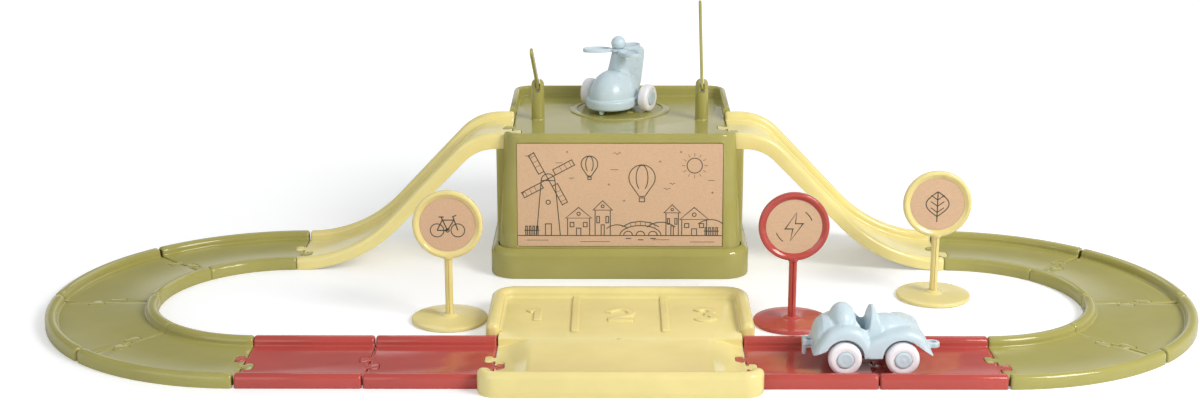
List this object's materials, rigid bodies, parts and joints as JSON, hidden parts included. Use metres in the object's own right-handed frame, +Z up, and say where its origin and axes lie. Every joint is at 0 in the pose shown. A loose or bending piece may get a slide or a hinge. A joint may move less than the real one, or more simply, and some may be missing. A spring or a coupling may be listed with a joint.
{
  "type": "toy road set with ramps, parking tray and vehicles",
  "caption": "Moulded toy road loop of snap-together channel pieces with a parking tray, a raised helipad box with ramps and barriers, signs, a car and a helicopter.",
  "frame": {"origin": "middle of the whole set on the floor, halfway between the parking tray's front edge and the back of the box", "axes": "+Z up, +X to the right along the front road, +Y from the parking tray to the box"},
  "size_m": [0.7918, 0.4162, 0.1894],
  "materials": {
    "olive_plastic": "moulded, glossy",
    "red_plastic": "moulded, glossy",
    "yellow_plastic": "moulded, glossy",
    "blue_plastic": "moulded, satin",
    "white_plastic": "moulded, soft satin",
    "printed_card": "brown card printed with thin dark line work, matt"
  },
  "bodies": {
    "root": {"curve_left_1": "olive_plastic", "curve_left_2": "olive_plastic", "curve_left_3": "olive_plastic", "curve_left_4": "olive_plastic", "curve_right_1": "olive_plastic", "curve_right_2": "olive_plastic", "curve_right_3": "olive_plastic", "curve_right_4": "olive_plastic", "straight_left_1": "red_plastic", "straight_left_2": "red_plastic", "straight_right_1": "red_plastic", "straight_right_2": "red_plastic", "parking_tray": "yellow_plastic", "ramp_left": "yellow_plastic", "ramp_right": "yellow_plastic", "box_body": "olive_plastic", "box_base": "olive_plastic", "box_label": "printed_card", "barrier_post_left": "olive_plastic", "barrier_post_right": "olive_plastic", "barrier_pin_left": "olive_plastic", "barrier_pin_right": "olive_plastic"},
    "barrier_arm_left": {"barrier_arm_left": "olive_plastic"},
    "barrier_arm_right": {"barrier_arm_right": "olive_plastic"},
    "sign_left": {"sign_foot_left": "yellow_plastic", "sign_head_left": "yellow_plastic", "sign_card_left": "printed_card"},
    "sign_middle": {"sign_foot_middle": "red_plastic", "sign_head_middle": "red_plastic", "sign_card_middle": "printed_card"},
    "sign_right": {"sign_foot_right": "yellow_plastic", "sign_head_right": "yellow_plastic", "sign_card_right": "printed_card"},
    "car": {"car_body": "blue_plastic"},
    "car_front_wheels": {"car_axle_front": "blue_plastic", "car_wheel_front_left": "white_plastic", "car_wheel_front_right": "white_plastic", "car_cap_front_left": "blue_plastic", "car_cap_front_right": "blue_plastic"},
    "car_rear_wheels": {"car_axle_rear": "blue_plastic", "car_wheel_rear_left": "white_plastic", "car_wheel_rear_right": "white_plastic", "car_cap_rear_left": "blue_plastic", "car_cap_rear_right": "blue_plastic"},
    "helicopter": {"helicopter_body": "blue_plastic", "rotor_ball": "blue_plastic"},
    "helicopter_rotor": {"rotor": "blue_plastic"},
    "helicopter_wheels": {"helicopter_axle": "blue_plastic", "helicopter_wheel_left": "white_plastic", "helicopter_wheel_right": "white_plastic", "helicopter_cap_left": "blue_plastic", "helicopter_cap_right": "blue_plastic"}
  },
  "joints": [
    {"name": "arm_left_hinge", "type": "hinge", "parent": "root", "child": "barrier_arm_left", "pos_m": [-0.0623, 0.1151, 0.1244], "axis": [1, 0, 0], "range_deg": [-55, 35]},
    {"name": "arm_right_hinge", "type": "hinge", "parent": "root", "child": "barrier_arm_right", "pos_m": [0.0623, 0.1151, 0.1244], "axis": [1, 0, 0], "range_deg": [0, 90]},
    {"name": "sign_left_lift", "type": "slide", "parent": "root", "child": "sign_left", "axis": [0, 0, 1], "range_m": [0, 0.05]},
    {"name": "sign_middle_lift", "type": "slide", "parent": "root", "child": "sign_middle", "axis": [0, 0, 1], "range_m": [0, 0.05]},
    {"name": "sign_right_lift", "type": "slide", "parent": "root", "child": "sign_right", "axis": [0, 0, 1], "range_m": [0, 0.05]},
    {"name": "car_drive", "type": "slide", "parent": "root", "child": "car", "axis": [1, 0, 0], "range_m": [-0.034, 0.034]},
    {"name": "car_front_roll", "type": "hinge", "parent": "car", "child": "car_front_wheels", "pos_m": [0.1762, -0.1558, 0.0138], "axis": [0, 1, 0], "range_deg": [-200, 200]},
    {"name": "car_rear_roll", "type": "hinge", "parent": "car", "child": "car_rear_wheels", "pos_m": [0.1402, -0.1558, 0.0138], "axis": [0, 1, 0], "range_deg": [-200, 200]},
    {"name": "helicopter_lift", "type": "slide", "parent": "root", "child": "helicopter", "axis": [0, 0, 1], "range_m": [0, 0.06]},
    {"name": "rotor_spin", "type": "hinge", "parent": "helicopter", "child": "helicopter_rotor", "pos_m": [-0.001, 0.1522, 0.1443], "axis": [0, 0, 1], "continuous": true},
    {"name": "helicopter_roll", "type": "hinge", "parent": "helicopter", "child": "helicopter_wheels", "pos_m": [-0.001, 0.1522, 0.1088], "axis": [0.891, -0.454, 0], "continuous": true}
  ],
  "couplings": [
    {"joint": "car_front_roll", "follows": "car_drive", "rad_per_m": 95.238},
    {"joint": "car_rear_roll", "follows": "car_drive", "rad_per_m": 95.238}
  ]
}
